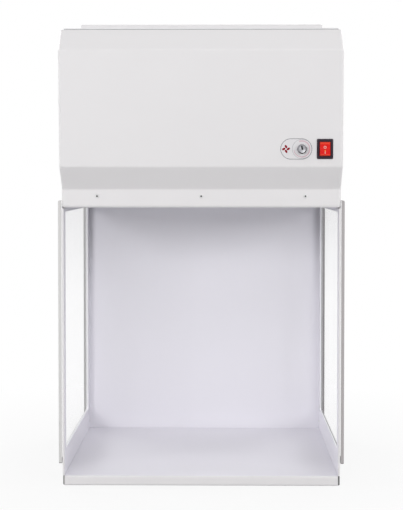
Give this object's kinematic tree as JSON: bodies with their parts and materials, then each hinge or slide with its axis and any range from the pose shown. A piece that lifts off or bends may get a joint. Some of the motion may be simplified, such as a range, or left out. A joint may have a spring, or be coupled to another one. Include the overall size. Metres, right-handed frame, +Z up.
{
  "type": "laminar flow hood",
  "caption": "Bench-top vertical laminar flow hood: white folded cabinet, open front, clear side panes, overhanging fan and filter head with rocker switch and speed knob.",
  "frame": {"origin": "on the table, under the middle of the cabinet's footprint and under the fan's axis", "axes": "+Z up, the open front faces -Y, the controls are towards +X"},
  "size_m": [0.452, 0.4877, 0.733],
  "materials": {
    "white_coat": "satin white powder coat",
    "grey_coat": "satin light grey powder coat",
    "dark_foam": "closed-cell foam strip",
    "grey_foam": "adhesive foam tape",
    "clear_acrylic": "clear polished sheet",
    "zinc_steel": "zinc plated",
    "rivet_aluminium": "plain",
    "filter_fleece": "coarse non-woven fleece",
    "galvanised": "galvanised sheet",
    "gasket_rubber": "foamed rubber",
    "raw_aluminium": "plain",
    "filter_paper": "pleated glass-fibre paper",
    "fan_plastic": "glass-filled, matt black",
    "rotor_paint": "black enamel",
    "dial_film": "printed film",
    "control_black": "satin black",
    "knob_metal": "fine turned",
    "rocker_red": "translucent red",
    "brass_tabs": "tinned brass",
    "board_green": "solder mask"
  },
  "bodies": {
    "cabinet": {"work_tray": "white_coat", "left_side_panel": "white_coat", "right_side_panel": "white_coat", "back_panel": "white_coat", "front_cover": "white_coat", "top_lid": "grey_coat", "top_seal": "dark_foam", "left_pane_tape": "grey_foam", "right_pane_tape": "grey_foam", "left_pane": "clear_acrylic", "right_pane": "clear_acrylic", "tray_screws": "zinc_steel", "tray_nuts": "zinc_steel", "panel_rivets": "rivet_aluminium", "front_cover_screws": "zinc_steel", "lid_screws": "zinc_steel", "prefilter_frame": "white_coat", "prefilter_pad": "filter_fleece", "prefilter_grille": "white_coat", "filter_shelf": "galvanised", "air_diffuser": "white_coat", "filter_gasket": "gasket_rubber", "filter_frame": "raw_aluminium", "filter_media": "filter_paper", "filter_clamps": "galvanised", "clamp_screws": "zinc_steel", "inlet_ring": "galvanised", "motor_stator": "raw_aluminium", "motor_bracket": "galvanised", "fan_posts": "zinc_steel", "fan_screws": "zinc_steel", "dial_plate": "dial_film", "potentiometer": "control_black", "potentiometer_nut": "zinc_steel", "rocker_switch_body": "control_black", "switch_terminals": "brass_tabs", "controller_board": "board_green", "controller_heat_sink": "raw_aluminium", "board_standoffs": "brass_tabs", "board_screws": "zinc_steel", "mains_inlet": "control_black", "mains_inlet_pins": "brass_tabs", "mains_inlet_screws": "zinc_steel"},
    "rocker": {"rocker": "rocker_red"},
    "knob": {"speed_knob": "knob_metal", "knob_pointer": "control_black", "potentiometer_shaft": "raw_aluminium"},
    "fan_rotor": {"fan_wheel": "fan_plastic", "motor_rotor": "rotor_paint"}
  },
  "joints": [
    {"name": "rocker_tilt", "type": "hinge", "parent": "cabinet", "child": "rocker", "pos_m": [0.1917, -0.25286, 0.53294], "axis": [1, 0, 0], "range_deg": [0, 20]},
    {"name": "knob_turn", "type": "hinge", "parent": "cabinet", "child": "knob", "pos_m": [0.156, -0.25286, 0.53294], "axis": [0, -0.9978, -0.0665], "range_deg": [-155, 145]},
    {"name": "fan_spin", "type": "hinge", "parent": "cabinet", "child": "fan_rotor", "pos_m": [0, 0, 0.66], "axis": [0, 0, 1], "continuous": true}
  ]
}
